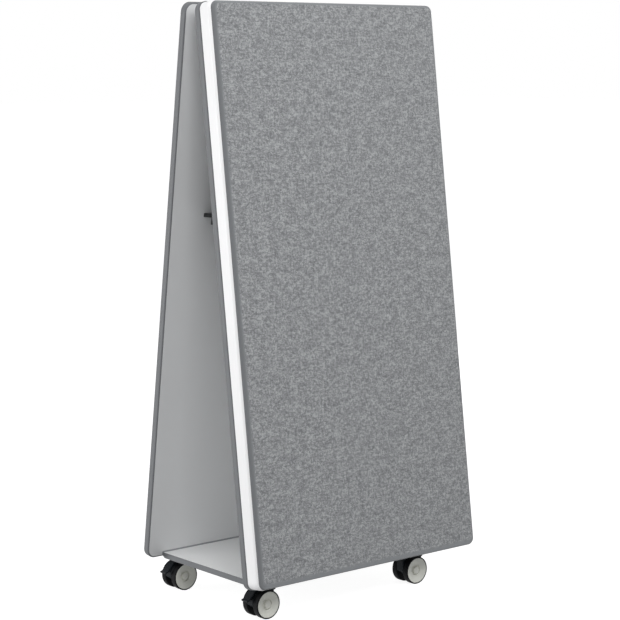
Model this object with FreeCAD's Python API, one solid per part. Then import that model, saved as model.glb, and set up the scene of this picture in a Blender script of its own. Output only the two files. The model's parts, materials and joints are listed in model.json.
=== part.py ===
import FreeCAD, Part
import math
import os

from FreeCAD import Placement, Rotation, Vector

# Mobile whiteboard: an A-frame trolley on swivel castors, with a felt-faced board hung on its front.
# Millimetres and degrees. x runs along the width, y to the rear and z up from the floor.

# Carrier panels, the two leaning sides of the trolley
BOARD_WIDTH = 900.0        # both carrier panels and the hanging board
PANEL_LENGTH = 1748.0      # carrier panel, measured up its slope
PANEL_CORE = 23.0          # core board of a carrier
WRITING_SHEET = 1.0        # dry-wipe sheet on the outer face of a board
CORNER_RADIUS = 30.0       # corners of the carriers, seen from the front
LIPPING = 5.0              # width of the lipping round a carrier
LIPPING_ROUND = 4.5        # rounding of the lipping's two outer edges
FOOT_SPAN = 489.0          # between the carriers' inner faces, at their lower edges
TOP_SPAN = 38.7            # and at their upper edges

# Shelf between the carriers
SHELF_SETBACK = 58.0       # shelf's ends in from the carriers' side edges
SHELF_THICKNESS = 17.0
SHELF_RISE = 13.0          # shelf top above the carriers' lower edges
SHELF_LAND = 9.0           # height of shelf edge that lies against a carrier
SHELF_BEVEL = 14.0         # how far the long edges slope in below that
SHELF_END = 2.0            # edge strip on each end of the shelf
SEAM_BEAD = 4.0            # leg of the corner bead along each carrier
STRAP_SPACING = 260.0      # the cranked straps that tie shelf and carriers, two a side
STRAP_WIDTH = 40.0
STRAP_THICKNESS = 2.5
STRAP_LEG = 34.0           # leg under the shelf
STRAP_TOE = 19.0           # leg under the carrier's lower edge

# Ridge spacer that joins the carriers at the top, and the dowels through it
RIDGE_SETBACK = 100.0      # in from the carriers' side edges
RIDGE_HEIGHT = 55.0
RIDGE_DROP = 15.0          # below the carriers' upper edges
DOWEL_RADIUS = 5.0
DOWEL_GRIP = 14.0          # length held in each carrier
DOWEL_COUNT = 4
DOWEL_MARGIN = 65.0        # outer dowels in from the spacer's ends

# Stretcher plate between the carriers, on two steel angles
STRETCHER_ABOVE_SHELF = 1085.0
STRETCHER_SETBACK = 125.0  # in from the carriers' side edges
STRETCHER_THICKNESS = 12.0
ANGLE_SETBACK = 30.0       # angles' ends in from the stretcher's
ANGLE_LEG = 26.0
ANGLE_THICKNESS = 2.0
ANGLE_SCREW_COUNT = 3
ANGLE_SCREW_MARGIN = 35.0  # outer screws in from the angle's ends

# Hanging board
BOARD_FOOT = 4.0           # lower edge of the board above the carriers' lower edges
BOARD_TOP_DROP = 4.0       # its upper edge below the carriers' upper edges
BOARD_GAP = 3.0            # air between the carrier and the board's frame
FRAME_DEPTH = 43.0
FRAME_WALL = 14.0
FRAME_CORNER = 24.0        # corners of the board, seen from the front
FRAME_CURVE = 8.0          # depth over which the frame's sides curve in to the felt
FRAME_BACK_ROUND = 1.5
BACK_RECESS = 12.0         # dry-wipe back sheet below the frame's back rim
FELT_INSET_SIDE = 8.0      # felt inside the frame's outline, left and right
FELT_INSET_TOP = 1.5       # at its upper edge
FELT_INSET_FOOT = 1.5      # and at its lower edge
FELT_CORNER = 22.0
FELT_THICKNESS = 7.0
FELT_ROUND = 6.0
BUMPER_RADIUS = 10.0
BUMPER_INSET = 80.0        # in from the board's side edges
BUMPER_RISE = 90.0         # above the board's lower edge
BUMPER_CLEARANCE = 0.3

# Bevelled hang rails, one on the front carrier and one on the back of the board
RAIL_DROP = 188.0          # carrier rail's lower edge below the carrier's upper edge
RAIL_SETBACK = 130.0       # in from the carriers' side edges
RAIL_DEPTH = 10.0
RAIL_HEIGHT = 42.0
BOARD_RAIL_HEIGHT = 38.0   # straight part of the board's rail above its bevel
RAIL_CLEARANCE = 0.2       # between the two bevels
RAIL_STANDOFF = 0.5        # board's rail clear of the carrier
RAIL_SCREW_COUNT = 4
RAIL_SCREW_MARGIN = 50.0   # outer screws in from the rail's ends

# Castors, each with two wheels that trail behind the swivel axis
CASTOR_INSET_X = 86.0      # swivel axes in from the shelf's ends
CASTOR_INSET_Y = 36.5      # and in from the carriers' inner faces at their feet
CASTOR_TRAIL = 45.0
CASTOR_HEADROOM = 11.0     # from the top of the wheels to the shelf
WHEEL_RADIUS = 44.0
WHEEL_WIDTH = 20.0
TYRE_THICKNESS = 3.0       # of the ring round the cover disc
TYRE_SHOULDER = 3.0
WHEEL_SIDE_GAP = 0.6       # between hood and wheel
HUB_RADIUS = 11.0
HUB_SIDE_GAP = 0.3         # between hood and hub
COVER_DEPTH = 13.0         # back of the cover disc below the wheel's outer face
RIM_WIDTH = 2.5            # flat rim of the cover disc
DISC_DISH = 9.0            # depth of the dish at its middle
BOSS_RADIUS = 12.0         # raised middle of the cover disc
BOSS_GROOVE = 5.0          # width of the groove round the boss
BOSS_SINK = 6.0            # boss below the rim
AXLE_RADIUS = 4.0
PLATE_LENGTH = 78.0
PLATE_WIDTH = 42.0
PLATE_THICKNESS = 3.0
PLATE_CORNER = 6.0
PLATE_SCREW_X = 62.0
PLATE_SCREW_Y = 27.0
RACE_RADIUS = 15.0
SWIVEL_GAP = 4.0           # between hood and plate
KINGPIN_RADIUS = 4.5
KINGPIN_LENGTH = 18.0
SOCKET_RADIUS = 8.0        # round nose of the hood, in which the kingpin turns
SOCKET_HEIGHT = 14.0
HOOD_WIDTH = 28.8
HOOD_FRONT = 6.0           # front of the hood's body behind the swivel axis
HOOD_FRONT_HEIGHT = 20.0
HOOD_TAIL = 44.0           # behind the axle
HOOD_SKIRT = 26.0          # lower edge above the floor
HOOD_SKIRT_HALF = 18.0     # half the length of the straight lower edge
HOOD_ROUND = 9.0
HOOD_CHAMFER = 2.0

# Brake pedal in the tail of a hood, on trunnions moulded with it
PEDAL_WIDTH = 27.6
PEDAL_THICKNESS = 4.5
PEDAL_PIVOT_BACK = 17.0    # trunnion axis behind the axle
PEDAL_PIVOT_DROP = 12.0    # trunnion axis below the hood's top
PEDAL_TOP = 8.0            # flat top of the pedal
PEDAL_FALL = 27.0          # height of the sloping tread
PEDAL_RUN = 27.0           # length of the sloping tread
PEDAL_LIP = 8.0
PEDAL_TONGUE = 10.0        # width of the tongue in the hood
PEDAL_TONGUE_RADIUS = 6.0
PEDAL_ROOM = 7.0           # hood cut back behind the tread
PEDAL_RIBS = 3             # grip ribs across the tread
RIB_REACH = 9.0            # outer ribs from the tread's middle
RIB_WIDTH = 2.4
RIB_HEIGHT = 1.0
RIB_MARGIN = 3.0           # ribs' ends in from the pedal's sides
TRUNNION_RADIUS = 2.5
TRUNNION_LENGTH = 18.0

# Fits
RUNNING_FIT = 0.05         # radial clearance of a turning fit
FIXED_FIT = 0.02           # radial clearance of a fixed pin
SIDE_FIT = 0.4             # clearance beside a moving tongue
END_FIT = 0.5              # clearance past the end of a pin or screw
RACE_FIT = 0.3             # between the swivel race and the hood

# Hexagon-head screws, with two lengths of shank under the head
SCREW_HEAD_RADIUS = 4.0    # to the hexagon's corners
SCREW_HEAD_HEIGHT = 2.2
SCREW_SHANK_RADIUS = 2.0
SHORT_SCREW = 11.0
LONG_SCREW = 26.0

# Worked out from the sizes above
LEAN_SIN = (FOOT_SPAN - TOP_SPAN) / (2 * PANEL_LENGTH)
LEAN_COS = math.sqrt(1 - LEAN_SIN ** 2)
LEAN = math.degrees(math.asin(LEAN_SIN))
SHELF_LENGTH = BOARD_WIDTH - 2 * SHELF_SETBACK
RIDGE_LENGTH = BOARD_WIDTH - 2 * RIDGE_SETBACK
STRETCHER_LENGTH = BOARD_WIDTH - 2 * STRETCHER_SETBACK
ANGLE_LENGTH = STRETCHER_LENGTH - 2 * ANGLE_SETBACK
RAIL_LENGTH = BOARD_WIDTH - 2 * RAIL_SETBACK
RAIL_FOOT = PANEL_LENGTH - RAIL_DROP
PANEL_THICKNESS = PANEL_CORE + WRITING_SHEET
CASTOR_HEIGHT = 2 * WHEEL_RADIUS + CASTOR_HEADROOM
SHELF_TOP = CASTOR_HEIGHT + SHELF_THICKNESS
PANEL_FOOT = SHELF_TOP - SHELF_RISE
STRETCHER_TOP = SHELF_TOP + STRETCHER_ABOVE_SHELF
STRETCHER_SEAT = STRETCHER_TOP - STRETCHER_THICKNESS
HOOD_TOP = CASTOR_HEIGHT - PLATE_THICKNESS - SWIVEL_GAP
FRAME_BACK = PANEL_THICKNESS + BOARD_GAP
FRAME_FRONT = FRAME_BACK + FRAME_DEPTH
SHEET_BACK = FRAME_BACK + BACK_RECESS
BOARD_TOP = PANEL_LENGTH - BOARD_TOP_DROP
WHEEL_INNER = HOOD_WIDTH / 2 + WHEEL_SIDE_GAP
WHEEL_OUTER = WHEEL_INNER + WHEEL_WIDTH
DISC_RADIUS = WHEEL_RADIUS - TYRE_THICKNESS
COVER_BACK = WHEEL_OUTER - COVER_DEPTH
X_AXIS = Vector(1, 0, 0)
Y_AXIS = Vector(0, 1, 0)
Z_AXIS = Vector(0, 0, 1)
OUTWARD = Vector(0, LEAN_COS, LEAN_SIN)     # out of the rear carrier's outer face
UPWARD = Vector(0, -LEAN_SIN, LEAN_COS)     # up the rear carrier's slope
OVERCUT = 1.0                               # how far a cutting solid runs past a face
TOUCH = 0.001                               # edges this near a plane lie in it


def spread(count, reach):
    """Evenly spaced places from -reach to reach."""
    return [reach * (2 * index / (count - 1) - 1) for index in range(count)]


def half_gap(height):
    """From the trolley's middle to a carrier's inner face, at a height above the floor."""
    return FOOT_SPAN / 2 - (height - PANEL_FOOT) * LEAN_SIN / LEAN_COS


def turned(shape):
    """Copy of a rear piece, turned half round the trolley's middle to become the front one."""
    copy = shape.copy()
    copy.rotate(Vector(), Z_AXIS, 180)
    return copy


def on_rear(shape):
    """Lean a piece built flat (y out of the inner face, z up the slope) into the rear carrier."""
    copy = shape.copy()
    copy.Placement = Placement(Vector(0, FOOT_SPAN / 2, PANEL_FOOT), Rotation(X_AXIS, LEAN))
    return copy


def on_front(shape):
    return turned(on_rear(shape))


def rear_point(x, out, up):
    """Point given along, out of and up the rear carrier."""
    return Vector(x, FOOT_SPAN / 2, PANEL_FOOT) + OUTWARD * out + UPWARD * up


def turned_seats(seats):
    """Screw seats of the rear, turned half round to the front."""
    half_turn = Rotation(Z_AXIS, 180)
    return [(half_turn.multVec(point), half_turn.multVec(way)) for point, way in seats]


def edges_along(shape, axis):
    """Straight edges that run along an axis."""
    return [edge for edge in shape.Edges
            if isinstance(edge.Curve, Part.Line) and edge.Curve.Direction.cross(axis).Length < TOUCH]


def rim(shape, level):
    """Edges that lie in the plane y = level."""
    return [edge for edge in shape.Edges
            if max(abs(edge.BoundBox.YMin - level), abs(edge.BoundBox.YMax - level)) < TOUCH]


def outline(width, low, high, radius, level):
    """Closed wire of a rectangle with round corners, centred in x and upright in the plane y = level."""
    across, foot, head = width / 2 - radius, low + radius, high - radius
    centres = [(across, head), (-across, head), (-across, foot), (across, foot)]
    arcs = []
    for quarter, (x, z) in enumerate(centres):
        angles = [math.radians(90 * quarter + step) for step in (0, 45, 90)]
        points = [Vector(x + radius * math.cos(a), level, z + radius * math.sin(a)) for a in angles]
        arcs.append(Part.Arc(*points).toShape())
    edges = []
    for arc, following in zip(arcs, arcs[1:] + arcs[:1]):
        edges += [arc, Part.makeLine(arc.lastVertex().Point, following.firstVertex().Point)]
    return Part.Wire(edges)


def plate(width, low, high, radius, near, far):
    """Flat plate with round corners: from near to far in y and from low to high in z."""
    return Part.Face(outline(width, low, high, radius, near)).extrude(Y_AXIS * (far - near))


def prism(section, length):
    """Solid of one (y, z) section along x, centred."""
    corners = [Vector(-length / 2, y, z) for y, z in section]
    return Part.Face(Part.makePolygon(corners + corners[:1])).extrude(X_AXIS * length)


def slab(profile, width):
    """Solid of one (x, z) profile along y, centred."""
    corners = [Vector(x, -width / 2, z) for x, z in profile]
    return Part.Face(Part.makePolygon(corners + corners[:1])).extrude(Y_AXIS * width)


def turning(section):
    """Solid turned about the y axis from a section of (radius, y) points."""
    corners = [Vector(radius, y, 0) for radius, y in section]
    return Part.Face(Part.makePolygon(corners + corners[:1])).revolve(Vector(), Y_AXIS, 360)


def folded(line, thickness):
    """Profile of a sheet folded along a line of points; a positive thickness lies to the line's left."""
    points = [Vector(a, b, 0) for a, b in line]
    runs = [(end - start).normalize() for start, end in zip(points, points[1:])]
    normals = [Vector(-run.y, run.x, 0) for run in runs]
    mitres = zip(points, normals[:1] + normals, normals + normals[-1:])
    far_side = [point + (one + two) * (thickness / (1 + one.dot(two))) for point, one, two in mitres]
    return line + [(point.x, point.y) for point in reversed(far_side)]


def screws(seats, length):
    """Hexagon-head screws; a seat is the point under the head and the way that the shank goes."""
    corners = [Rotation(Z_AXIS, 60 * side).multVec(X_AXIS * SCREW_HEAD_RADIUS) for side in range(7)]
    head = Part.Face(Part.makePolygon(corners)).extrude(Z_AXIS * -SCREW_HEAD_HEIGHT)
    screw = head.fuse(Part.makeCylinder(SCREW_SHANK_RADIUS, length))
    solids = []
    for point, way in seats:
        solid = screw.copy()
        solid.Placement = Placement(point, Rotation(Z_AXIS, way))
        solids.append(solid)
    return Part.makeCompound(solids)


def drilled(shape, seats, length):
    """Shape with a hole for each screw, and a pocket for its head where material stands over it."""
    holes = []
    for point, way in seats:
        holes.append(Part.makeCylinder(SCREW_SHANK_RADIUS + FIXED_FIT, length + END_FIT, point, way))
        pocket = SCREW_HEAD_HEIGHT + OVERCUT
        holes.append(Part.makeCylinder(SCREW_HEAD_RADIUS + SIDE_FIT, pocket, point, way * -1))
    return shape.cut(holes)


def carrier_lipping():
    """Lipping that wraps a carrier's four edges, with both outer edges rounded."""
    body = plate(BOARD_WIDTH, 0, PANEL_LENGTH, CORNER_RADIUS, 0, PANEL_THICKNESS)
    body = body.makeFillet(LIPPING_ROUND, rim(body, 0) + rim(body, PANEL_THICKNESS))
    return body.cut(carrier_field(-OVERCUT, PANEL_THICKNESS + OVERCUT))


def carrier_field(near, far):
    """Plate that fills a carrier's lipping, from near to far through its thickness."""
    width = BOARD_WIDTH - 2 * LIPPING
    return plate(width, LIPPING, PANEL_LENGTH - LIPPING, CORNER_RADIUS - LIPPING, near, far)


def shelf_section():
    """Shelf end profile: edges lean with the carriers, then slope in below them."""
    land_foot = SHELF_TOP - SHELF_LAND
    half = [(half_gap(SHELF_TOP), SHELF_TOP), (half_gap(land_foot), land_foot),
            (FOOT_SPAN / 2 - SHELF_BEVEL, CASTOR_HEIGHT)]
    return half + [(-y, z) for y, z in reversed(half)]


def shelf_ends():
    strip = prism(shelf_section(), SHELF_END)
    reach = (SHELF_LENGTH - SHELF_END) / 2
    return Part.makeCompound([strip.translated(X_AXIS * x) for x in (-reach, reach)])


def seam_bead():
    """Three-cornered bead in the angle between the shelf and the rear carrier."""
    corner = (half_gap(SHELF_TOP), SHELF_TOP)
    on_shelf = (corner[0] - SEAM_BEAD, SHELF_TOP)
    on_carrier = (corner[0] - SEAM_BEAD * LEAN_SIN, SHELF_TOP + SEAM_BEAD * LEAN_COS)
    return prism([corner, on_carrier, on_shelf], SHELF_LENGTH)


def strap():
    """Cranked steel strap from under the shelf to under the rear carrier's lower edge."""
    bend = FOOT_SPAN / 2 - SHELF_BEVEL
    toe = rear_point(0, STRAP_TOE, 0)
    line = [(bend - STRAP_LEG, CASTOR_HEIGHT), (bend, CASTOR_HEIGHT),
            (FOOT_SPAN / 2, PANEL_FOOT), (toe.y, toe.z)]
    return prism(folded(line, -STRAP_THICKNESS), STRAP_WIDTH)


def strap_seats():
    """Screw seats of the rear straps: into the shelf and into the carrier's lower edge."""
    places = spread(2, STRAP_SPACING / 2)
    under = Vector(0, FOOT_SPAN / 2 - SHELF_BEVEL - STRAP_LEG / 2, CASTOR_HEIGHT - STRAP_THICKNESS)
    into_shelf = [(under + X_AXIS * x, Z_AXIS) for x in places]
    into_edge = [(rear_point(x, PANEL_THICKNESS / 2, -STRAP_THICKNESS), UPWARD) for x in places]
    return into_shelf, into_edge


def ridge_spacer():
    top = PANEL_FOOT + (PANEL_LENGTH - RIDGE_DROP) * LEAN_COS
    foot = top - RIDGE_HEIGHT
    half = [(half_gap(foot), foot), (half_gap(top), top)]
    return prism(half + [(-y, z) for y, z in reversed(half)], RIDGE_LENGTH)


def ridge_dowels(clearance=0.0, extra=0.0):
    """Dowels through the ridge spacer into both carriers, or the holes for them."""
    middle = PANEL_FOOT + (PANEL_LENGTH - RIDGE_DROP) * LEAN_COS - RIDGE_HEIGHT / 2
    reach = half_gap(middle) + DOWEL_GRIP + extra
    radius = DOWEL_RADIUS + clearance
    return [Part.makeCylinder(radius, 2 * reach, Vector(x, -reach, middle), Y_AXIS)
            for x in spread(DOWEL_COUNT, RIDGE_LENGTH / 2 - DOWEL_MARGIN)]


def stretcher_plate():
    low, high = STRETCHER_SEAT, STRETCHER_TOP
    half = [(half_gap(low), low), (half_gap(high), high)]
    return prism(half + [(-y, z) for y, z in reversed(half)], STRETCHER_LENGTH)


def stretcher_angle():
    """Steel angle under the stretcher, with its second leg down the rear carrier."""
    corner = Vector(0, half_gap(STRETCHER_SEAT), STRETCHER_SEAT)
    low = corner - UPWARD * ANGLE_LEG
    line = [(corner.y - ANGLE_LEG, corner.z), (corner.y, corner.z), (low.y, low.z)]
    return prism(folded(line, -ANGLE_THICKNESS), ANGLE_LENGTH)


def angle_seats():
    """Screw seats of the rear angle: up into the stretcher, and into the carrier."""
    corner = Vector(0, half_gap(STRETCHER_SEAT), STRETCHER_SEAT)
    middle = (ANGLE_LEG + ANGLE_THICKNESS) / 2
    below = corner - Y_AXIS * middle - Z_AXIS * ANGLE_THICKNESS
    inside = corner - UPWARD * middle - OUTWARD * ANGLE_THICKNESS
    places = spread(ANGLE_SCREW_COUNT, ANGLE_LENGTH / 2 - ANGLE_SCREW_MARGIN)
    into_plate = [(below + X_AXIS * x, Z_AXIS) for x in places]
    into_carrier = [(inside + X_AXIS * (x + ANGLE_LEG / 2), OUTWARD) for x in places]
    return into_plate, into_carrier


def rail_bevel(out, gap=0.0):
    """Height up the slope of the rails' bevel, at a distance out of the carrier's inner face."""
    return RAIL_FOOT + RAIL_HEIGHT - RAIL_DEPTH + (out - PANEL_THICKNESS) + gap * math.sqrt(2)


def carrier_rail():
    """Hang rail on the carrier: its upper edge slopes up and outwards."""
    back, front = PANEL_THICKNESS, PANEL_THICKNESS + RAIL_DEPTH
    section = [(back, RAIL_FOOT), (front, RAIL_FOOT), (front, rail_bevel(front)), (back, rail_bevel(back))]
    return prism(section, RAIL_LENGTH)


def board_rail():
    """Hang rail on the board: its lower edge drops behind the carrier's rail."""
    back, front = PANEL_THICKNESS + RAIL_STANDOFF, SHEET_BACK
    top = rail_bevel(front) + BOARD_RAIL_HEIGHT
    section = [(back, rail_bevel(back, RAIL_CLEARANCE)), (front, rail_bevel(front, RAIL_CLEARANCE)),
               (front, top), (back, top)]
    return prism(section, RAIL_LENGTH)


def rail_seats():
    """Sunk screw seats, in the flat frame of a panel: carrier rail, then board rail."""
    places = spread(RAIL_SCREW_COUNT, RAIL_LENGTH / 2 - RAIL_SCREW_MARGIN)
    sunk = SCREW_HEAD_HEIGHT + END_FIT
    carrier_height = RAIL_FOOT + (RAIL_HEIGHT - RAIL_DEPTH) / 2
    carrier_out = PANEL_THICKNESS + RAIL_DEPTH - sunk
    board_height = rail_bevel(SHEET_BACK) + BOARD_RAIL_HEIGHT / 2
    board_out = PANEL_THICKNESS + RAIL_STANDOFF + sunk
    into_carrier = [(Vector(x, carrier_out, carrier_height), Y_AXIS * -1) for x in places]
    into_board = [(Vector(x, board_out, board_height), Y_AXIS) for x in places]
    return into_carrier, into_board


def board_field(near, far):
    """Plate that fills the board's frame, from near to far through its depth."""
    width = BOARD_WIDTH - 2 * FRAME_WALL
    radius = FRAME_CORNER - FRAME_WALL
    return plate(width, BOARD_FOOT + FRAME_WALL, BOARD_TOP - FRAME_WALL, radius, near, far)


def board_outline(share, level):
    """Outline of the board drawn in by a share of the way from its frame's side to the felt's edge."""
    width = BOARD_WIDTH - 2 * share * FELT_INSET_SIDE
    foot = BOARD_FOOT + share * FELT_INSET_FOOT
    top = BOARD_TOP - share * FELT_INSET_TOP
    radius = FRAME_CORNER + share * (FELT_CORNER - FRAME_CORNER)
    return outline(width, foot, top, radius, level)


def board_frame():
    """Deep frame round the board: square behind, its sides curving in to the felt in front."""
    start = FRAME_FRONT - FRAME_CURVE
    back = plate(BOARD_WIDTH, BOARD_FOOT, BOARD_TOP, FRAME_CORNER, FRAME_BACK, start)
    back = back.makeFillet(FRAME_BACK_ROUND, rim(back, FRAME_BACK))
    angles = [math.radians(angle) for angle in (0, 30, 60, 90)]
    sections = [board_outline(1 - math.cos(a), start + FRAME_CURVE * math.sin(a)) for a in angles]
    front = Part.makeLoft(sections, True)
    return back.fuse(front).cut(board_field(FRAME_BACK - OVERCUT, FRAME_FRONT + OVERCUT))


def felt_face():
    """Felt-covered pin-up pad on the front of the board, with a rolled front edge."""
    front = FRAME_FRONT + FELT_THICKNESS
    pad = Part.Face(board_outline(1, FRAME_FRONT)).extrude(Y_AXIS * FELT_THICKNESS)
    return pad.makeFillet(FELT_ROUND, rim(pad, front))


def board_bumpers():
    """Rubber pads low on the back of the board, which keep it parallel to the carrier."""
    near = PANEL_THICKNESS + BUMPER_CLEARANCE
    height = BOARD_FOOT + BUMPER_RISE
    return Part.makeCompound([
        Part.makeCylinder(BUMPER_RADIUS, SHEET_BACK - near, Vector(x, near, height), Y_AXIS)
        for x in spread(2, BOARD_WIDTH / 2 - BUMPER_INSET)])


def castor_plate():
    """Top plate of a castor with its swivel race; the kingpin is riveted through both."""
    low = CASTOR_HEIGHT - PLATE_THICKNESS
    block = Part.makeBox(PLATE_LENGTH, PLATE_WIDTH, PLATE_THICKNESS,
                         Vector(-PLATE_LENGTH / 2, -PLATE_WIDTH / 2, low))
    block = block.makeFillet(PLATE_CORNER, edges_along(block, Z_AXIS))
    race_foot = HOOD_TOP + RACE_FIT
    race = Part.makeCylinder(RACE_RADIUS, low - race_foot, Vector(0, 0, race_foot))
    return block.fuse(race).removeSplitter().cut(kingpin(FIXED_FIT))


def kingpin(clearance=0.0):
    foot = CASTOR_HEIGHT - KINGPIN_LENGTH
    return Part.makeCylinder(KINGPIN_RADIUS + clearance, KINGPIN_LENGTH, Vector(0, 0, foot))


def plate_seats():
    low = CASTOR_HEIGHT - PLATE_THICKNESS
    return [(Vector(x, y, low), Z_AXIS)
            for x in spread(2, PLATE_SCREW_X / 2) for y in spread(2, PLATE_SCREW_Y / 2)]


def at_axle(shape):
    """Move a piece built round the y axis to a castor's axle."""
    return shape.translated(Vector(-CASTOR_TRAIL, 0, WHEEL_RADIUS))


def axle(clearance=0.0):
    reach = COVER_BACK - END_FIT
    return at_axle(Part.makeCylinder(AXLE_RADIUS + clearance, 2 * reach, Vector(0, -reach, 0), Y_AXIS))


def tyre():
    """Black wheel on the rear side of the hood: tread, hub on the axle, and a seat for the cover disc."""
    seat = DISC_RADIUS + FIXED_FIT
    shoulder = WHEEL_RADIUS - TYRE_SHOULDER / 2
    hub = HOOD_WIDTH / 2 + HUB_SIDE_GAP
    bore = AXLE_RADIUS + RUNNING_FIT
    return at_axle(turning([
        (bore, hub), (HUB_RADIUS, hub), (HUB_RADIUS, WHEEL_INNER), (shoulder, WHEEL_INNER),
        (WHEEL_RADIUS, WHEEL_INNER + TYRE_SHOULDER), (WHEEL_RADIUS, WHEEL_OUTER - TYRE_SHOULDER),
        (shoulder, WHEEL_OUTER), (seat, WHEEL_OUTER), (seat, COVER_BACK), (bore, COVER_BACK)]))


def wheel_disc():
    """Cover disc in the wheel's outer side: a flat rim, a deep dish, and a boss in a groove."""
    groove = BOSS_RADIUS + BOSS_GROOVE
    dish = WHEEL_OUTER - DISC_DISH
    boss = WHEEL_OUTER - BOSS_SINK
    return at_axle(turning([
        (0, COVER_BACK), (0, boss), (BOSS_RADIUS, boss), (BOSS_RADIUS, dish), (groove, dish),
        (DISC_RADIUS - RIM_WIDTH, WHEEL_OUTER), (DISC_RADIUS, WHEEL_OUTER), (DISC_RADIUS, COVER_BACK)]))


def front_wheel(piece):
    """Copy of a rear wheel's piece, turned half round the hood's middle."""
    copy = piece.copy()
    copy.rotate(Vector(-CASTOR_TRAIL, 0, 0), Z_AXIS, 180)
    return copy


def pedal_pivot():
    return Vector(-CASTOR_TRAIL - PEDAL_PIVOT_BACK, 0, HOOD_TOP - PEDAL_PIVOT_DROP)


def pedal_line():
    """Upper face of the pedal from its flat top, down the tread, to the lip: (x, z) points."""
    pivot = pedal_pivot()
    root = pivot.x - PEDAL_TONGUE_RADIUS
    brow = root - PEDAL_TOP
    toe = brow - PEDAL_RUN
    return [(root, HOOD_TOP), (brow, HOOD_TOP), (toe, HOOD_TOP - PEDAL_FALL),
            (toe - PEDAL_LIP, HOOD_TOP - PEDAL_FALL - PEDAL_LIP / 3)]


def hood(braked):
    """Moulded body between the wheels; a braked one is cut back at its tail for the pedal."""
    tail = -CASTOR_TRAIL - HOOD_TAIL
    profile = [(-HOOD_FRONT, HOOD_TOP), (-HOOD_FRONT, HOOD_TOP - HOOD_FRONT_HEIGHT),
               (-CASTOR_TRAIL + HOOD_SKIRT_HALF, HOOD_SKIRT), (-CASTOR_TRAIL - HOOD_SKIRT_HALF, HOOD_SKIRT),
               (tail, WHEEL_RADIUS), (tail, HOOD_TOP)]
    body = slab(profile, HOOD_WIDTH)
    if braked:
        body = body.cut(pedal_bay())
    corners = edges_along(body, Y_AXIS)
    if braked:
        corners = [edge for edge in corners if edge.BoundBox.XMin > -CASTOR_TRAIL]
    body = body.makeFillet(HOOD_ROUND, corners)
    body = body.makeChamfer(HOOD_CHAMFER, rim(body, -HOOD_WIDTH / 2) + rim(body, HOOD_WIDTH / 2))
    body = body.fuse(kingpin_socket()).removeSplitter()
    body = body.cut([kingpin(RUNNING_FIT), kingpin_end(), axle(FIXED_FIT)])
    if braked:
        body = body.cut([pedal_slot(), trunnion(RUNNING_FIT, END_FIT)])
    return body


def kingpin_socket():
    """Round nose that joins the hood's body to the kingpin."""
    foot = HOOD_TOP - SOCKET_HEIGHT
    root = -HOOD_FRONT - 2 * HOOD_ROUND
    neck = slab([(0, HOOD_TOP), (0, foot), (root, foot), (root, HOOD_TOP)], 2 * SOCKET_RADIUS)
    return neck.fuse(Part.makeCylinder(SOCKET_RADIUS, SOCKET_HEIGHT, Vector(0, 0, foot)))


def kingpin_end():
    """Room below the kingpin in its socket."""
    foot = CASTOR_HEIGHT - KINGPIN_LENGTH - END_FIT
    return Part.makeCylinder(KINGPIN_RADIUS + RUNNING_FIT, END_FIT, Vector(0, 0, foot))


def pedal_bay():
    """Space that the tail of a braked hood leaves for the pedal to swing in."""
    line = pedal_line()
    brow, toe = line[1], line[2]
    floor = toe[1] - PEDAL_THICKNESS
    far = toe[0] - HOOD_TAIL
    return slab([(brow[0] + PEDAL_TOP + PEDAL_ROOM, HOOD_TOP + OVERCUT), (toe[0] + 2 * PEDAL_ROOM, floor),
                 (far, floor), (far, HOOD_TOP + OVERCUT)], HOOD_WIDTH + 2 * OVERCUT)


def pedal_slot():
    """Slot in the hood for the pedal's tongue."""
    pivot = pedal_pivot()
    radius = PEDAL_TONGUE_RADIUS + SIDE_FIT
    width = PEDAL_TONGUE + 2 * SIDE_FIT
    middle = Vector(pivot.x, -width / 2, pivot.z)
    round_end = Part.makeCylinder(radius, width, middle, Y_AXIS)
    back = pivot.x - HOOD_TAIL
    opening = slab([(pivot.x + radius, HOOD_TOP + OVERCUT), (pivot.x + radius, pivot.z),
                    (pivot.x, pivot.z - radius), (back, pivot.z - radius), (back, HOOD_TOP + OVERCUT)], width)
    return round_end.fuse(opening)


def trunnion(clearance=0.0, extra=0.0):
    pivot = pedal_pivot()
    reach = TRUNNION_LENGTH / 2 + extra
    return Part.makeCylinder(TRUNNION_RADIUS + clearance, 2 * reach, Vector(pivot.x, -reach, pivot.z), Y_AXIS)


def pedal_ribs():
    """Grip ribs across the pedal's sloping tread."""
    brow, toe = [Vector(x, 0, z) for x, z in pedal_line()[1:3]]
    run = (toe - brow).normalize()
    out = Vector(run.z, 0, -run.x)
    half = run * (RIB_WIDTH / 2)
    ribs = []
    for place in spread(PEDAL_RIBS, RIB_REACH):
        middle = (brow + toe) * 0.5 + run * place
        low, high = middle - out * OVERCUT, middle + out * RIB_HEIGHT
        corners = [low - half, low + half, high + half, high - half]
        ribs.append(slab([(corner.x, corner.z) for corner in corners], PEDAL_WIDTH - 2 * RIB_MARGIN))
    return ribs


def pedal():
    """Brake pedal: a ribbed tread and lip, a tongue into the hood and the trunnions it turns on."""
    pivot = pedal_pivot()
    tread = slab(folded(pedal_line(), PEDAL_THICKNESS), PEDAL_WIDTH)
    eye = Part.makeCylinder(PEDAL_TONGUE_RADIUS, PEDAL_TONGUE,
                            Vector(pivot.x, -PEDAL_TONGUE / 2, pivot.z), Y_AXIS)
    root, brow = pedal_line()[:2]
    low = HOOD_TOP - PEDAL_THICKNESS
    tongue = slab([(pivot.x, pivot.z + PEDAL_TONGUE_RADIUS), (root[0], low), (brow[0], low),
                   (pivot.x, pivot.z - PEDAL_TONGUE_RADIUS)], PEDAL_TONGUE)
    return tread.fuse([eye, tongue, trunnion(), *pedal_ribs()]).removeSplitter()


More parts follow.
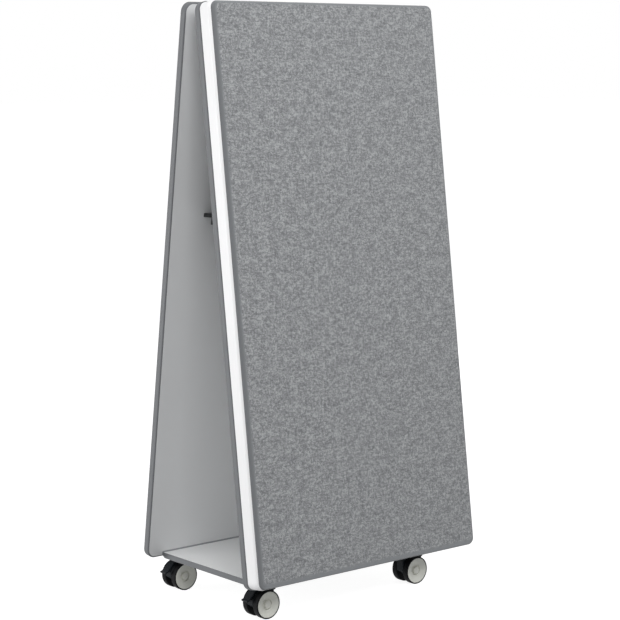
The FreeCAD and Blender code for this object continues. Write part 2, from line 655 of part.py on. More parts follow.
def castor_pieces(corner, braked):
    """Every piece of one castor, with its swivel axis on the z axis."""
    pieces = {
        f"{corner}_castor_plate": drilled(castor_plate(), plate_seats(), SHORT_SCREW),
        f"{corner}_hood": hood(braked),
        f"{corner}_axle": axle(),
        f"{corner}_rear_tyre": tyre(),
        f"{corner}_rear_disc": wheel_disc(),
        f"{corner}_front_tyre": front_wheel(tyre()),
        f"{corner}_front_disc": front_wheel(wheel_disc()),
    }
    if braked:
        pieces[f"{corner}_pedal"] = pedal()
    return pieces


def castors():
    """The four castors in their places, the kingpins as one group, and their screw seats."""
    half_x, half_y = SHELF_LENGTH / 2 - CASTOR_INSET_X, FOOT_SPAN / 2 - CASTOR_INSET_Y
    corners = {"front_left": (-half_x, -half_y), "front_right": (half_x, -half_y),
               "rear_left": (-half_x, half_y), "rear_right": (half_x, half_y)}
    pieces, pins, seats = {}, [], []
    for corner, (x, y) in corners.items():
        place = Vector(x, y, 0)
        for name, shape in castor_pieces(corner, braked=corner.endswith("left")).items():
            pieces[name] = shape.translated(place)
        pins.append(kingpin().translated(place))
        seats += [(point + place, way) for point, way in plate_seats()]
    pieces["castor_kingpins"] = Part.makeCompound(pins)
    pieces["castor_screws"] = screws(seats, SHORT_SCREW)
    return pieces, seats


def trolley(castor_seats):
    """The fixed structure: two carriers, shelf, ridge, stretcher and the front hang rail."""
    shelf_seats, edge_seats = strap_seats()
    plate_up, into_rear = angle_seats()
    rail_local, _ = rail_seats()
    all_shelf = shelf_seats + turned_seats(shelf_seats)
    all_edges = edge_seats + turned_seats(edge_seats)
    all_plate = plate_up + turned_seats(plate_up)
    all_carriers = into_rear + turned_seats(into_rear)
    dowel_holes = ridge_dowels(FIXED_FIT, END_FIT)

    front_core = on_front(drilled(carrier_field(0, PANEL_CORE), rail_local, SHORT_SCREW))
    front_sheet = on_front(drilled(carrier_field(PANEL_CORE, PANEL_THICKNESS), rail_local, SHORT_SCREW))
    cores = {"front": front_core, "rear": on_rear(carrier_field(0, PANEL_CORE))}
    lippings = {"front": on_front(carrier_lipping()), "rear": on_rear(carrier_lipping())}
    pieces = {"front_panel_sheet": front_sheet,
              "rear_panel_sheet": on_rear(carrier_field(PANEL_CORE, PANEL_THICKNESS))}
    for side in ("front", "rear"):
        core = drilled(cores[side].cut(dowel_holes), all_edges, LONG_SCREW)
        pieces[f"{side}_panel_core"] = drilled(core, all_carriers, SHORT_SCREW)
        pieces[f"{side}_panel_lipping"] = drilled(lippings[side], all_edges, LONG_SCREW)

    board = prism(shelf_section(), SHELF_LENGTH - 2 * SHELF_END)
    pieces["shelf_board"] = drilled(board, all_shelf + castor_seats, SHORT_SCREW)
    pieces["shelf_end_strips"] = shelf_ends()
    pieces["shelf_seam_beads"] = Part.makeCompound([seam_bead(), turned(seam_bead())])

    rear_strap = drilled(strap_pair(), shelf_seats, SHORT_SCREW)
    rear_strap = drilled(rear_strap, edge_seats, LONG_SCREW)
    pieces["shelf_straps"] = Part.makeCompound([rear_strap, turned(rear_strap)])
    strap_screws = [screws(all_shelf, SHORT_SCREW), screws(all_edges, LONG_SCREW)]
    pieces["strap_screws"] = Part.makeCompound(strap_screws)

    pieces["ridge_spacer"] = ridge_spacer().cut(dowel_holes)
    pieces["ridge_dowels"] = Part.makeCompound(ridge_dowels())
    pieces["stretcher_plate"] = drilled(stretcher_plate(), all_plate, SHORT_SCREW)
    rear_angle = drilled(stretcher_angle(), plate_up + into_rear, SHORT_SCREW)
    pieces["stretcher_angles"] = Part.makeCompound([rear_angle, turned(rear_angle)])
    pieces["stretcher_screws"] = screws(all_plate + all_carriers, SHORT_SCREW)

    pieces["front_hang_rail"] = on_front(drilled(carrier_rail(), rail_local, SHORT_SCREW))
    pieces["hang_rail_screws"] = on_front(screws(rail_local, SHORT_SCREW))
    return pieces


def strap_pair():
    return Part.makeCompound([strap().translated(X_AXIS * x) for x in spread(2, STRAP_SPACING / 2)])


def hanging_board():
    """The board that lifts off the front carrier: frame, core, felt, back sheet, rail and bumpers."""
    _, seats = rail_seats()
    flat = {
        "board_frame": board_frame(),
        "board_core": drilled(board_field(SHEET_BACK + WRITING_SHEET, FRAME_FRONT), seats, SHORT_SCREW),
        "board_back_sheet": drilled(board_field(SHEET_BACK, SHEET_BACK + WRITING_SHEET), seats, SHORT_SCREW),
        "felt_face": felt_face(),
        "board_hang_rail": drilled(board_rail(), seats, SHORT_SCREW),
        "board_rail_screws": screws(seats, SHORT_SCREW),
        "board_bumpers": board_bumpers(),
    }
    return {name: on_front(shape) for name, shape in flat.items()}


def main():
    castor_parts, castor_seats = castors()
    pieces = {**trolley(castor_seats), **hanging_board(), **castor_parts}
    # The origin is on the floor, midway between the felt's front and the rear carrier's back.
    front = pieces["felt_face"].optimalBoundingBox().YMin
    rear = pieces["rear_panel_lipping"].optimalBoundingBox().YMax
    centring = Y_AXIS * (-(front + rear) / 2)
    os.makedirs("parts", exist_ok=True)
    for name, shape in pieces.items():
        shape.translated(centring).exportStep(f"parts/{name}.step")
    print(f"{len(pieces)} pieces, moved {centring.y:.3f} mm along y to centre them")


main()
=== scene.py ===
# %% [markdown]
# A mobile whiteboard: two leaning panels on a castor trolley, with a felt-faced board hung on the front.
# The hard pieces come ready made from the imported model, at their real size and place, in metres.
# This lesson gives each of them a finish, and models the felt and the wheels anew, because these are soft
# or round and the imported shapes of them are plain.

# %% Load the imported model
import json
import math

import bmesh
import bpy
from mathutils import Matrix, Vector


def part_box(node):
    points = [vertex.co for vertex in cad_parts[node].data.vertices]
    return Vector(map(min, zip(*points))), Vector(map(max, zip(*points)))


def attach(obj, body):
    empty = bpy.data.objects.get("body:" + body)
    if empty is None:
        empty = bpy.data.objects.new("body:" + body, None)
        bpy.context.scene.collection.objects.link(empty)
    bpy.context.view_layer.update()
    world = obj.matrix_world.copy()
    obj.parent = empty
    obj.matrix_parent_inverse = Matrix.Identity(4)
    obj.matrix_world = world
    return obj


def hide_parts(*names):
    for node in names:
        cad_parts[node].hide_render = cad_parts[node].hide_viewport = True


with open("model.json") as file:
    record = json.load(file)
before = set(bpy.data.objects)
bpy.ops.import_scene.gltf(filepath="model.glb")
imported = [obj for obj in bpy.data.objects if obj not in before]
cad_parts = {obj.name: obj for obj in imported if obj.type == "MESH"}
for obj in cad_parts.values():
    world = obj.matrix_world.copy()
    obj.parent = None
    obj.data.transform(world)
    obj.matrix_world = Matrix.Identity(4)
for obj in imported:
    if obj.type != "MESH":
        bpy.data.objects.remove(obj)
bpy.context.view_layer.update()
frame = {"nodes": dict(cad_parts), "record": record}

nodes = frame["nodes"]
record = frame["record"]
body_of_node = {node: body for body, members in record["behaviour"]["bodies"].items() for node in members}

# %% [markdown]
# The camera stands where the photograph was taken from: off the left front corner, at standing eye height,
# far enough away for a long lens, so that the upright edges hardly converge. It could be aimed at a target
# with a constraint, but plain yaw and pitch angles are easier to correct by a tenth of a degree.

# %% Place the camera
CAMERA_PLACE = (-3.8598, -4.5696, 1.6634)
CAMERA_YAW = math.radians(40.14)
CAMERA_PITCH = math.radians(7.40)
CAMERA_ROLL = math.radians(0.06)
LENS_MM = 111.17
SENSOR_MM = 36.0

camera = bpy.data.objects.new("camera", bpy.data.cameras.new("camera"))
camera.data.lens = LENS_MM
camera.data.sensor_width = SENSOR_MM
camera.location = CAMERA_PLACE
aim = Matrix.Rotation(-CAMERA_YAW, 3, "Z") @ Matrix.Rotation(math.pi / 2 - CAMERA_PITCH, 3, "X")
camera.rotation_euler = (aim @ Matrix.Rotation(CAMERA_ROLL, 3, "Z")).to_euler()
bpy.context.scene.collection.objects.link(camera)
bpy.context.scene.camera = camera
print("camera", [round(v, 3) for v in camera.location], "lens", LENS_MM)

# %% [markdown]
# The set is a white studio. Its sky lights the object softly, and more from the upper left, as a row of
# windows would. A picture of a sky could do this too, but a dot product with one direction is enough for a
# slow change from side to side. What the camera sees of the sky is pure white, and so is what mirrors and
# glass show of it.

# %% Make the studio's sky
SKY_LIGHT = 0.34
SKY_TILT = 0.85
SKY_BRIGHT_SIDE = (-0.8, 0.0, 0.6)


def seen_directly(tree):
    """1 for rays from the camera and for mirror or glass rays, 0 for the light that falls on things."""
    path = tree.nodes.new("ShaderNodeLightPath")
    total = path.outputs["Is Camera Ray"]
    for name in ("Is Glossy Ray", "Is Transmission Ray"):
        larger = tree.nodes.new("ShaderNodeMath")
        larger.operation = "MAXIMUM"
        tree.links.new(total, larger.inputs[0])
        tree.links.new(path.outputs[name], larger.inputs[1])
        total = larger.outputs[0]
    return total


def make_sky():
    world = bpy.data.worlds.new("studio_sky")
    bpy.context.scene.world = world
    world.use_nodes = True
    tree = world.node_tree
    background = tree.nodes["Background"]
    background.inputs["Color"].default_value = (1, 1, 1, 1)
    direction = tree.nodes.new("ShaderNodeTexCoord")
    toward = tree.nodes.new("ShaderNodeVectorMath")
    toward.operation = "DOT_PRODUCT"
    toward.inputs[1].default_value = SKY_BRIGHT_SIDE
    tree.links.new(direction.outputs["Generated"], toward.inputs[0])
    glow = tree.nodes.new("ShaderNodeMapRange")
    glow.inputs["From Min"].default_value = -1.0
    glow.inputs["To Min"].default_value = SKY_LIGHT * (1 - SKY_TILT)
    glow.inputs["To Max"].default_value = SKY_LIGHT * (1 + SKY_TILT)
    tree.links.new(toward.outputs["Value"], glow.inputs["Value"])
    strength = tree.nodes.new("ShaderNodeMapRange")
    strength.inputs["To Max"].default_value = 1.0
    tree.links.new(seen_directly(tree), strength.inputs["Value"])
    tree.links.new(glow.outputs["Result"], strength.inputs["To Min"])
    tree.links.new(strength.outputs["Result"], background.inputs["Strength"])


make_sky()
bpy.context.scene.view_settings.view_transform = "Standard"
print("sky", SKY_LIGHT, "brighter toward", SKY_BRIGHT_SIDE)

# %% [markdown]
# The floor runs out far enough to meet the sky. It keeps a faint shadow: most of what the camera sees there
# is a steady white, and only the rest answers to the lamps. A plain white floor would also look white, but
# it would throw so much light back up that every shade on the object's underside went flat. So the light
# that this floor throws back is that of a grey one.

# %% Lay the floor
FLOOR_REACH = 60.0
FLOOR_PAINT = 0.35
FLOOR_SHARE = 0.30
FLOOR_STEADY = 0.92


def floor_paint():
    paint = bpy.data.materials.new("studio_floor")
    paint.use_nodes = True
    tree = paint.node_tree
    tree.nodes.clear()
    matt = tree.nodes.new("ShaderNodeBsdfDiffuse")
    matt.inputs["Color"].default_value = (FLOOR_PAINT, FLOOR_PAINT, FLOOR_PAINT, 1)
    share = tree.nodes.new("ShaderNodeBsdfDiffuse")
    share.inputs["Color"].default_value = (FLOOR_SHARE, FLOOR_SHARE, FLOOR_SHARE, 1)
    steady = tree.nodes.new("ShaderNodeEmission")
    steady.inputs["Strength"].default_value = FLOOR_STEADY
    seen = tree.nodes.new("ShaderNodeAddShader")
    choice = tree.nodes.new("ShaderNodeMixShader")
    output = tree.nodes.new("ShaderNodeOutputMaterial")
    tree.links.new(share.outputs[0], seen.inputs[0])
    tree.links.new(steady.outputs[0], seen.inputs[1])
    tree.links.new(seen_directly(tree), choice.inputs[0])
    tree.links.new(matt.outputs[0], choice.inputs[1])
    tree.links.new(seen.outputs[0], choice.inputs[2])
    tree.links.new(choice.outputs[0], output.inputs["Surface"])
    return paint


def lay_floor():
    shape = bmesh.new()
    bmesh.ops.create_grid(shape, x_segments=1, y_segments=1, size=FLOOR_REACH)
    mesh = bpy.data.meshes.new("studio_floor")
    shape.to_mesh(mesh)
    shape.free()
    mesh.materials.append(floor_paint())
    floor = bpy.data.objects.new("studio_floor", mesh)
    bpy.context.scene.collection.objects.link(floor)


lay_floor()
print("floor", 2 * FLOOR_REACH, "m wide")

# %% [markdown]
# Four softboxes add direction to the sky. The one behind and to the left lights the white edge of the board,
# the brightest thing in the picture. Two hang high in front, one near the middle and one toward the left
# corner: they light the felt from above, shade the dished wheel covers, and reach a little way into the bay
# between the panels. The one behind and to the right keeps the far end and the back from going dark. A sun
# or a point lamp would also give direction, but the size of an area lamp sets how soft the shadows are.

# %% Hang the softboxes
SOFTBOXES = {
    "left_softbox": {"place": (-4.9, 2.8, 0.8), "aim_height": 0.7, "size": 2.5, "power": 164.0},
    "front_softbox": {"place": (0.3, -4.0, 4.2), "aim_height": 0.9, "size": 2.0, "power": 82.0},
    "corner_softbox": {"place": (-2.4, -3.8, 4.4), "aim_height": 0.9, "size": 2.0, "power": 88.0},
    "right_softbox": {"place": (4.6, 2.6, 1.8), "aim_height": 0.9, "size": 2.5, "power": 80.0},
}


def hang_softbox(name, place, aim_height, size, power):
    """Square area lamp that looks at a point above the middle of the trolley's foot."""
    lamp = bpy.data.lights.new(name, "AREA")
    lamp.shape = "SQUARE"
    lamp.size = size
    lamp.energy = power
    softbox = bpy.data.objects.new(name, lamp)
    softbox.location = place
    look = Vector((0.0, 0.0, aim_height)) - Vector(place)
    softbox.rotation_euler = look.to_track_quat("-Z", "Y").to_euler()
    softbox.visible_camera = False
    bpy.context.scene.collection.objects.link(softbox)


for name, values in SOFTBOXES.items():
    hang_softbox(name, **values)
print(len(SOFTBOXES), "softboxes of", [values["power"] for values in SOFTBOXES.values()], "W")

# %% [markdown]
# Every finish below is a small node tree on the Principled shader. The trees could be built by hand in the
# editor, but a few helpers keep them short and alike. These ones turn a screen colour into the shader's own
# numbers, start a material, and add a noise. Unless told otherwise they read Object coordinates, which are
# metres here, because every piece has its origin at the floor's middle.

# %% Helpers for finishes: colour, coordinates and noise
def screen(red, green, blue):
    """Colour as a screen shows it, 0 to 255, turned into the linear numbers that shaders take."""
    levels = [v / 255 for v in (red, green, blue)]
    return [v / 12.92 if v <= 0.04045 else ((v + 0.055) / 1.055) ** 2.4 for v in levels]


def tint(colour, factor):
    return [min(1.0, v * factor) for v in colour]


def start_finish(name, colour, roughness):
    finish = bpy.data.materials.new(name)
    finish.use_nodes = True
    tree = finish.node_tree
    shader = tree.nodes["Principled BSDF"]
    shader.inputs["Base Color"].default_value = (*colour, 1)
    shader.inputs["Roughness"].default_value = roughness
    return finish, tree, shader


def add_node(tree, kind, values):
    node = tree.nodes.new(kind)
    for name, value in values.items():
        node.inputs[name].default_value = value
    return node


def pattern_space(tree, source="Object", stretch=(1, 1, 1), turn=0.0):
    """Coordinates in metres, squeezed by stretch and turned about their third axis."""
    place = tree.nodes.new("ShaderNodeTexCoord")
    space = add_node(tree, "ShaderNodeMapping", {"Scale": stretch, "Rotation": (0, 0, turn)})
    tree.links.new(place.outputs[source], space.inputs["Vector"])
    return space.outputs["Vector"]


def noise(tree, space, per_metre, detail=3.0, rough=0.5):
    node = add_node(tree, "ShaderNodeTexNoise", {"Scale": per_metre, "Detail": detail, "Roughness": rough})
    tree.links.new(space, node.inputs["Vector"])
    return node.outputs["Fac"]


print("colour, coordinate and noise helpers ready")

# %% [markdown]
# A noise is only a grey pattern, and most of it lies close to the middle grey. Four more helpers make use of
# it: one spreads it between two values, one adds or multiplies two patterns, one colours a pattern with a
# ramp, and one turns it into bumps. Real bumps in the mesh would need millions of faces for the same look.

# %% Helpers for finishes: range, sum, ramp and relief
USUAL_NOISE = (0.25, 0.75)


def between(tree, value, low, high, span=USUAL_NOISE):
    """A pattern spread from low to high, with the span that it mostly stays in taken as the whole."""
    node = add_node(tree, "ShaderNodeMapRange",
                    {"From Min": span[0], "From Max": span[1], "To Min": low, "To Max": high})
    tree.links.new(value, node.inputs["Value"])
    return node.outputs["Result"]


def combine(tree, how, first, second):
    node = tree.nodes.new("ShaderNodeMath")
    node.operation = how
    for socket, value in zip(node.inputs, (first, second)):
        if isinstance(value, float):
            socket.default_value = value
        else:
            tree.links.new(value, socket)
    return node.outputs[0]


def colours(tree, value, stops):
    """Colour ramp from (position, colour) stops."""
    node = tree.nodes.new("ShaderNodeValToRGB")
    points = node.color_ramp.elements
    while len(points) < len(stops):
        points.new(1.0)
    for point, (position, colour) in zip(points, stops):
        point.position = position
        point.color = (*colour, 1)
    tree.links.new(value, node.inputs["Fac"])
    return node.outputs["Color"]


def relief(tree, shader, height, depth, strength=1.0):
    bump = add_node(tree, "ShaderNodeBump", {"Distance": depth, "Strength": strength})
    tree.links.new(height, bump.inputs["Height"])
    tree.links.new(bump.outputs["Normal"], shader.inputs["Normal"])


print("range, sum, ramp and relief helpers ready")

# %% [markdown]
# Moulded plastic, lacquer and powder coat are never quite even. Spark-eroded moulds leave a fine grain,
# sprayed coats have a faint ripple, and handling polishes all of them in patches. Each could have a tree of
# its own, but one function covers them: a fine noise for relief, a broad one for a slight drift of colour,
# and one between them for sheen. Only the sizes and amounts differ from finish to finish.

# %% Finish: moulded and coated surfaces
DRIFT_PER_METRE = 7.0
WEAR_PER_METRE = 23.0
SHEEN_RANGE = 0.08


def moulded(name, colour, roughness, grain_per_metre, grain_depth, drift=0.06, gloss=0.5):
    finish, tree, shader = start_finish(name, colour, roughness)
    shader.inputs["Specular IOR Level"].default_value = gloss
    space = pattern_space(tree)
    broad = noise(tree, space, DRIFT_PER_METRE, detail=4.0)
    shades = [(0.3, tint(colour, 1 - drift)), (0.7, tint(colour, 1 + drift))]
    tree.links.new(colours(tree, broad, shades), shader.inputs["Base Color"])
    wear = noise(tree, space, WEAR_PER_METRE, detail=5.0, rough=0.6)
    rough = between(tree, wear, roughness - SHEEN_RANGE, roughness + SHEEN_RANGE)
    tree.links.new(rough, shader.inputs["Roughness"])
    relief(tree, shader, noise(tree, space, grain_per_metre, detail=2.0), grain_depth)
    return finish


finishes = {
    "white_frame": moulded("white_satin_lacquer", screen(246, 246, 247), roughness=0.38,
                           grain_per_metre=900.0, grain_depth=0.00003, drift=0.008),
    "grey_edge": moulded("grey_edge_lipping", screen(111, 113, 116), roughness=0.50,
                         grain_per_metre=1100.0, grain_depth=0.00005, drift=0.03, gloss=0.3),
    "bead": moulded("grey_rubber", screen(140, 142, 145), roughness=0.70,
                    grain_per_metre=1500.0, grain_depth=0.00008),
    "castor_black": moulded("black_castor_plastic", screen(21, 25, 29), roughness=0.48,
                            grain_per_metre=2200.0, grain_depth=0.00006, drift=0.12, gloss=0.12),
    "tyre_black": moulded("black_tyre_rubber", screen(12, 13, 15), roughness=0.60,
                          grain_per_metre=1400.0, grain_depth=0.00008, drift=0.15, gloss=0.1),
    "disc_grey": moulded("warm_grey_wheel_plastic", screen(227, 228, 220), roughness=0.36,
                         grain_per_metre=1800.0, grain_depth=0.00004, drift=0.03),
    "black_steel": moulded("black_powder_coat", screen(28, 29, 31), roughness=0.40,
                           grain_per_metre=1600.0, grain_depth=0.00010, drift=0.10),
    # Painted shade: the brace's angles take this grey so that they read as the soft shadow under the brace.
    "brace_shadow_grey": moulded("brace_shadow_grey_coat", screen(78, 80, 83), roughness=0.45,
                          grain_per_metre=1600.0, grain_depth=0.00010, drift=0.10),
}
print(len(finishes), "moulded and coated finishes")

# %% [markdown]
# The writing faces are dry-wipe sheets: hard, glossy and almost white. A plain white would look like paper,
# because the look is in the gloss. So the tree adds a clear coat, a ripple far too shallow to see except in
# a reflection, and wiped patches that are a little duller. The carriers' inner faces and the shelf are
# laminate with less gloss and a faint pebble, and the shelf is the whiter of the two.

# %% Finish: writing sheets and laminate
CLOUDS_PER_METRE = 3.5
WIPES_PER_METRE = 9.0
RIPPLES_PER_METRE = 28.0
COAT_ROUGHNESS = 0.08
LAMINATE = {"roughness": 0.45, "wiped_range": 0.03, "coat": 0.0, "ripple_depth": 0.00002,
            "pebble_per_metre": 1200.0, "pebble_depth": 0.00002}


def glossy_sheet(name, colour, roughness, wiped_range, coat, ripple_depth, pebble_per_metre, pebble_depth):
    finish, tree, shader = start_finish(name, colour, roughness)
    shader.inputs["Coat Weight"].default_value = coat
    shader.inputs["Coat Roughness"].default_value = COAT_ROUGHNESS
    space = pattern_space(tree)
    cloud = noise(tree, space, CLOUDS_PER_METRE, detail=5.0, rough=0.55)
    shades = [(0.3, tint(colour, 0.985)), (0.7, tint(colour, 1.01))]
    tree.links.new(colours(tree, cloud, shades), shader.inputs["Base Color"])
    slant = pattern_space(tree, stretch=(1, 1, 0.35), turn=0.4)
    wiped = noise(tree, slant, WIPES_PER_METRE, detail=6.0, rough=0.65)
    duller = between(tree, wiped, roughness - wiped_range, roughness + wiped_range)
    tree.links.new(duller, shader.inputs["Roughness"])
    wave = noise(tree, space, RIPPLES_PER_METRE, detail=1.0)
    ripple = combine(tree, "MULTIPLY", wave, ripple_depth / pebble_depth)
    height = combine(tree, "ADD", ripple, noise(tree, space, pebble_per_metre, detail=2.0))
    relief(tree, shader, height, pebble_depth)
    return finish


finishes["dry_wipe"] = glossy_sheet("white_enamel", screen(240, 241, 242), roughness=0.20, wiped_range=0.06,
                                    coat=0.6, ripple_depth=0.00006, pebble_per_metre=700.0,
                                    pebble_depth=0.00001)
finishes["shelf"] = glossy_sheet("white_laminate", screen(243, 244, 244), **LAMINATE)
finishes["laminate"] = glossy_sheet("pale_laminate", screen(217, 218, 219), **LAMINATE)
print("sheet and laminate finishes made")

# %% [markdown]
# The metal pieces are few and mostly hidden: zinc-plated screws, axles and castor plates, and the aluminium
# hang rails. Zinc shows a cloudy spangle, and drawn aluminium shows fine lines along its length. The lines
# could be a wave pattern, but a noise squeezed along one axis is less regular, as drawn metal is. The raw
# board core inside the frame is chips of wood in glue, which cells of random colour show well.

# %% Finish: zinc, aluminium and raw board
SPANGLES_PER_METRE = 260.0
ZINC_ROUGHNESS = (0.24, 0.46)
DRAWN_LINES_PER_METRE = 1800.0
ALUMINIUM_ROUGHNESS = (0.22, 0.42)
METAL_RELIEF = 0.00002
CHIPS_PER_METRE = 260.0
CHIP_RELIEF = 0.0002


def zinc():
    finish, tree, shader = start_finish("zinc_plate", screen(178, 181, 184), 0.34)
    shader.inputs["Metallic"].default_value = 1.0
    spangle = noise(tree, pattern_space(tree), SPANGLES_PER_METRE, detail=5.0, rough=0.7)
    shades = [(0.35, screen(158, 161, 165)), (0.65, screen(190, 193, 195))]
    tree.links.new(colours(tree, spangle, shades), shader.inputs["Base Color"])
    tree.links.new(between(tree, spangle, *ZINC_ROUGHNESS), shader.inputs["Roughness"])
    relief(tree, shader, spangle, METAL_RELIEF)
    return finish


def drawn_aluminium():
    finish, tree, shader = start_finish("anodised_aluminium", screen(205, 207, 209), 0.30)
    shader.inputs["Metallic"].default_value = 1.0
    lines = noise(tree, pattern_space(tree, stretch=(0.02, 1, 1)), DRAWN_LINES_PER_METRE, detail=4.0)
    shades = [(0.3, screen(192, 194, 197)), (0.7, screen(212, 214, 215))]
    tree.links.new(colours(tree, lines, shades), shader.inputs["Base Color"])
    tree.links.new(between(tree, lines, *ALUMINIUM_ROUGHNESS), shader.inputs["Roughness"])
    relief(tree, shader, lines, METAL_RELIEF)
    return finish


def raw_board():
    finish, tree, shader = start_finish("raw_chipboard", screen(196, 178, 146), 0.80)
    chips = add_node(tree, "ShaderNodeTexVoronoi", {"Scale": CHIPS_PER_METRE, "Randomness": 1.0})
    tree.links.new(pattern_space(tree, stretch=(0.4, 1, 1)), chips.inputs["Vector"])
    shades = [(0.1, screen(168, 146, 112)), (0.5, screen(200, 182, 150)), (0.9, screen(214, 199, 170))]
    tree.links.new(colours(tree, chips.outputs["Color"], shades), shader.inputs["Base Color"])
    relief(tree, shader, chips.outputs["Distance"], CHIP_RELIEF)
    return finish


finishes["screw_steel"] = zinc()
finishes["rail"] = drawn_aluminium()
finishes["light_core"] = raw_board()
print("metal and board finishes made")

# %% [markdown]
# The felt is a melange: light and dark wool spun together, so that short flecks of both lie over a middle
# grey. Strands of hair would show every fibre, but from a few metres only the flecks are seen. Three noises,
# squeezed across, along and slantwise as fibres lie, give the flecks, and a broad one gathers them into soft
# clouds. They follow the felt's own UV map, which is in metres. The felt's edge is pressed hard and looks
# smooth, and its left side carries painted shade for the shadow in the gap beside the frame: two painted
# attributes say where.

# %% Finish: melange felt
FELT_MID = screen(143, 145, 147)
FELT_DARK = screen(114, 116, 119)
FELT_LIGHT = screen(177, 179, 181)
FELT_SMOOTH = screen(138, 141, 144)
# Painted shade: the felt's left side is coloured darker for the shadow in the gap beside the frame.
FELT_PAINTED_SHADE = screen(110, 112, 115)
FLECKS_PER_METRE = 150.0
FLECK_LAYS = [
    {"stretch": (0.42, 1.0, 1), "turn": 0.0, "fineness": 1.0, "share": 1.0},
    {"stretch": (0.9, 0.55, 1), "turn": 0.2, "fineness": 1.0, "share": 1.0},
    {"stretch": (0.6, 0.9, 1), "turn": 0.6, "fineness": 2.2, "share": 1.3},
    {"stretch": (0.8, 1.0, 1), "turn": 0.0, "fineness": 0.22, "share": 0.6},
]
FLECK_SPAN = (1.67, 2.23)
FIBRES_PER_METRE = 1500.0
FELT_RELIEF = 0.0006


def flecks(tree):
    """The lays of wool added up, and spread from 0 for the darkest to 1 for the lightest."""
    total = 0.0
    for lay in FLECK_LAYS:
        space = pattern_space(tree, "UV", lay["stretch"], lay["turn"])
        fleck = noise(tree, space, FLECKS_PER_METRE * lay["fineness"], detail=3.0, rough=0.62)
        total = combine(tree, "ADD", combine(tree, "MULTIPLY", fleck, lay["share"]), total)
    return between(tree, total, 0.0, 1.0, FLECK_SPAN)


def painted_over(tree, below, colour, attribute):
    """Lay a plain colour over another, as far as a painted attribute says."""
    amount = tree.nodes.new("ShaderNodeAttribute")
    amount.attribute_name = attribute
    blend = tree.nodes.new("ShaderNodeMix")
    blend.data_type = "RGBA"
    blend.inputs["B"].default_value = (*colour, 1)
    tree.links.new(amount.outputs["Fac"], blend.inputs["Factor"])
    tree.links.new(below, blend.inputs["A"])
    return blend.outputs["Result"]


def melange_felt():
    finish, tree, shader = start_finish("melange_felt", FELT_MID, 0.92)
    shader.inputs["Sheen Weight"].default_value = 0.25
    shader.inputs["Sheen Roughness"].default_value = 0.5
    mix = flecks(tree)
    field = colours(tree, mix, [(0.0, FELT_DARK), (0.5, FELT_MID), (1.0, FELT_LIGHT)])
    field = painted_over(tree, field, FELT_SMOOTH, "pressed")
    # Painted shade along the felt's left side, where the gap to the frame lies in shadow.
    field = painted_over(tree, field, FELT_PAINTED_SHADE, "painted_left_shade")
    tree.links.new(field, shader.inputs["Base Color"])
    fibres = noise(tree, pattern_space(tree, "UV"), FIBRES_PER_METRE, detail=3.0, rough=0.6)
    relief(tree, shader, combine(tree, "ADD", mix, fibres), FELT_RELIEF, strength=0.6)
    return finish


finishes["felt"] = melange_felt()
print("felt with", FLECKS_PER_METRE, "flecks a metre in", len(FLECK_LAYS), "lays")

# %% [markdown]
# Each hard piece already knows its material slot in the record, so one loop dresses all of them, where a
# list of pieces typed by hand could miss one. Two pieces differ from their slot: the shelf is whiter than
# the carriers, and the brace's angles, real pieces, are painted a mid-grey that stands in for the soft
# shadow under the brace, where its plate is black. The meshes stay as they are: only their material slots
# change.

# %% Dress the hard pieces
# The angles' grey is painted shade, standing in for the soft shadow under the brace.
OWN_FINISH = {"shelf_board": "shelf", "stretcher_angles": "brace_shadow_grey"}

finish_of_node = {row["node"]: row["material_slot"] for row in record["subparts"]}
finish_of_node.update(OWN_FINISH)
for node, finish_name in finish_of_node.items():
    mesh = nodes[node].data
    mesh.materials.clear()
    mesh.materials.append(finishes[finish_name])
print(len(finish_of_node), "pieces dressed in", len(set(finish_of_node.values())), "finishes")

# %% [markdown]
# The felt pad covers the board's whole front: about 1.74 m tall and seven millimetres thick, with rolled
# edges that are pressed down harder than the field. Its place and lean come from the mount on the felt's
# face and from the hard stand-in's own extents, measured along the lean. The pad could be shaped where it
# leans, but bevels and insets are easier to follow on a flat slab, which is then leaned into place.

# %% Measure the felt's stand-in along the lean
face = next(mount for mount in record["mounts"] if mount["name"] == "felt_pin_up_face")
OUT = Vector(face["axis"]).normalized()
ACROSS = Vector((1, 0, 0))
UP = OUT.cross(ACROSS)
lean_into_place = Matrix((ACROSS, UP, OUT)).transposed().to_4x4()
lean_into_place.translation = Vector(face["pos_m"])


def extents_along(node, axes):
    """Lowest and highest reach of a node from the felt's middle, along each of the axes."""
    points = [vertex.co - lean_into_place.translation for vertex in nodes[node].data.vertices]
    reaches = [[point.dot(axis) for point in points] for axis in axes]
    return [(min(reach), max(reach)) for reach in reaches]


felt_x, felt_up, felt_out = extents_along("felt_face", (ACROSS, UP, OUT))
print("felt", [round(high - low, 4) for low, high in (felt_x, felt_up, felt_out)])

# %% [markdown]
# A rectangle with bevelled corners gives the pad's outline, one extrusion its thickness, and a bevel its
# rolled edge. A cube with two bevels would give the same, but this way each bevel meets only the edges that
# it is for.

# %% Helper: a slab with round corners and a rolled edge
CORNER_SEGMENTS = 14
ROLL_SEGMENTS = 6
NEAR_ZERO = 1e-6


